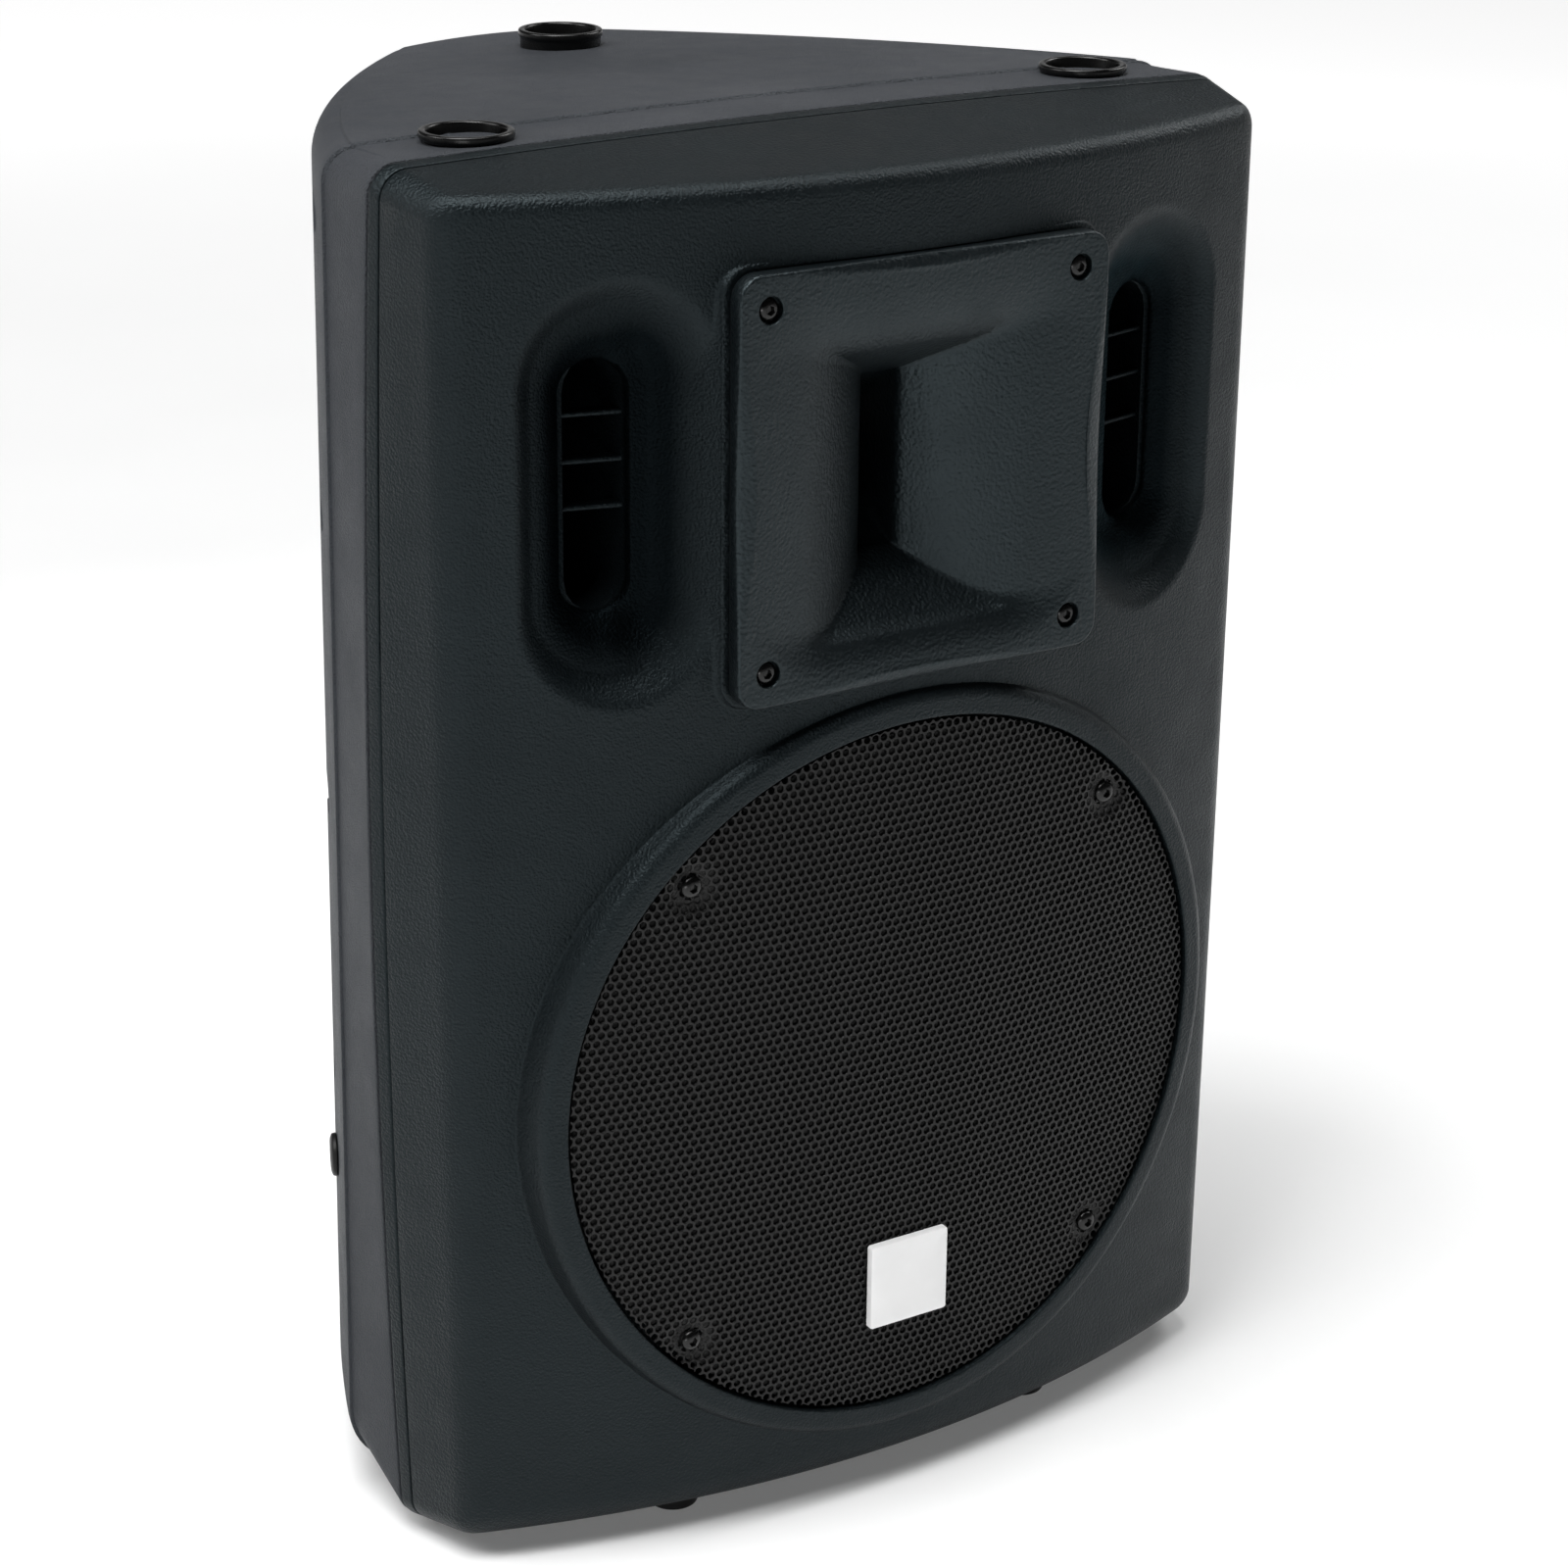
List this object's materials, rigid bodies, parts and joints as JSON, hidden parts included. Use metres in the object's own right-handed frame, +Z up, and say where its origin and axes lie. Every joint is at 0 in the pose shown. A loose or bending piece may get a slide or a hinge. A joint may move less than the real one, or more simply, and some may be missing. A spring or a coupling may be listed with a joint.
{
  "type": "pa speaker cabinet",
  "caption": "Two-way moulded PA loudspeaker with a round perforated woofer grille, a square horn, slot ports, side handles, stacking cups and a pole socket.",
  "frame": {"origin": "centre of the base of the bounding box, on the floor", "axes": "+Z up, -Y out of the front (grille side), +X to the right for someone facing the front"},
  "size_m": [0.4198, 0.363, 0.594],
  "materials": {
    "front_plastic": "fine leather grain",
    "shell_plastic": "sandy texture",
    "rubber": "satin",
    "black_screw": "gloss black",
    "zinc": "zinc plated",
    "alloy": "satin black cast alloy",
    "paper": "pressed black paper",
    "copper": "enamelled copper wire",
    "cloth": "woven and felted fibre",
    "ferrite": "ceramic",
    "grille_steel": "fine powder coat",
    "foam": "open-cell foam",
    "badge_white": "gloss",
    "black_steel": "satin black",
    "board": "solder mask"
  },
  "bodies": {
    "cabinet": {"badge": "badge_white", "basket_screw_1": "black_screw", "basket_screw_2": "black_screw", "basket_screw_3": "black_screw", "basket_screw_4": "black_screw", "crossover_board": "board", "crossover_capacitor": "ferrite", "crossover_coil": "copper", "damping_wool": "cloth", "driver_body": "alloy", "driver_cap": "front_plastic", "driver_lead": "rubber", "foot_front_left": "rubber", "foot_front_right": "rubber", "foot_rear_left": "rubber", "foot_rear_right": "rubber", "front_baffle": "front_plastic", "grille": "grille_steel", "grille_foam": "foam", "grille_post_1": "zinc", "grille_post_2": "zinc", "grille_post_3": "zinc", "grille_post_4": "zinc", "grille_screw_1": "black_screw", "grille_screw_2": "black_screw", "grille_screw_3": "black_screw", "grille_screw_4": "black_screw", "handle_cup_left": "front_plastic", "handle_cup_right": "front_plastic", "handle_grip_left": "rubber", "handle_grip_right": "rubber", "horn_gasket": "rubber", "horn_screw_1": "black_screw", "horn_screw_2": "black_screw", "horn_screw_3": "black_screw", "horn_screw_4": "black_screw", "horn_waveguide": "front_plastic", "input_panel": "black_steel", "magnet": "ferrite", "pole_socket": "black_steel", "port_tube_left": "front_plastic", "port_tube_right": "front_plastic", "rear_shell": "shell_plastic", "seam_gasket": "rubber", "speaker_socket_1": "front_plastic", "speaker_socket_2": "front_plastic", "spider": "cloth", "stacking_cup_left": "rubber", "stacking_cup_rear": "rubber", "stacking_cup_right": "rubber", "surround": "rubber", "top_plate": "zinc", "woofer_basket": "alloy", "woofer_lead": "rubber", "yoke": "zinc"},
    "cone_assembly": {"woofer_cone": "paper", "dust_cap": "paper", "voice_coil": "copper"},
    "diaphragm": {"driver_diaphragm": "zinc"}
  },
  "joints": [
    {"name": "cone_travel", "type": "slide", "parent": "cabinet", "child": "cone_assembly", "axis": [0, -1, 0], "range_m": [-0.006, 0.006], "stiffness_N_per_m": 5000, "deforming": ["surround", "spider"]},
    {"name": "diaphragm_travel", "type": "slide", "parent": "cabinet", "child": "diaphragm", "axis": [0, -1, 0], "range_m": [-0.0003, 0.0003], "stiffness_N_per_m": 2000}
  ]
}
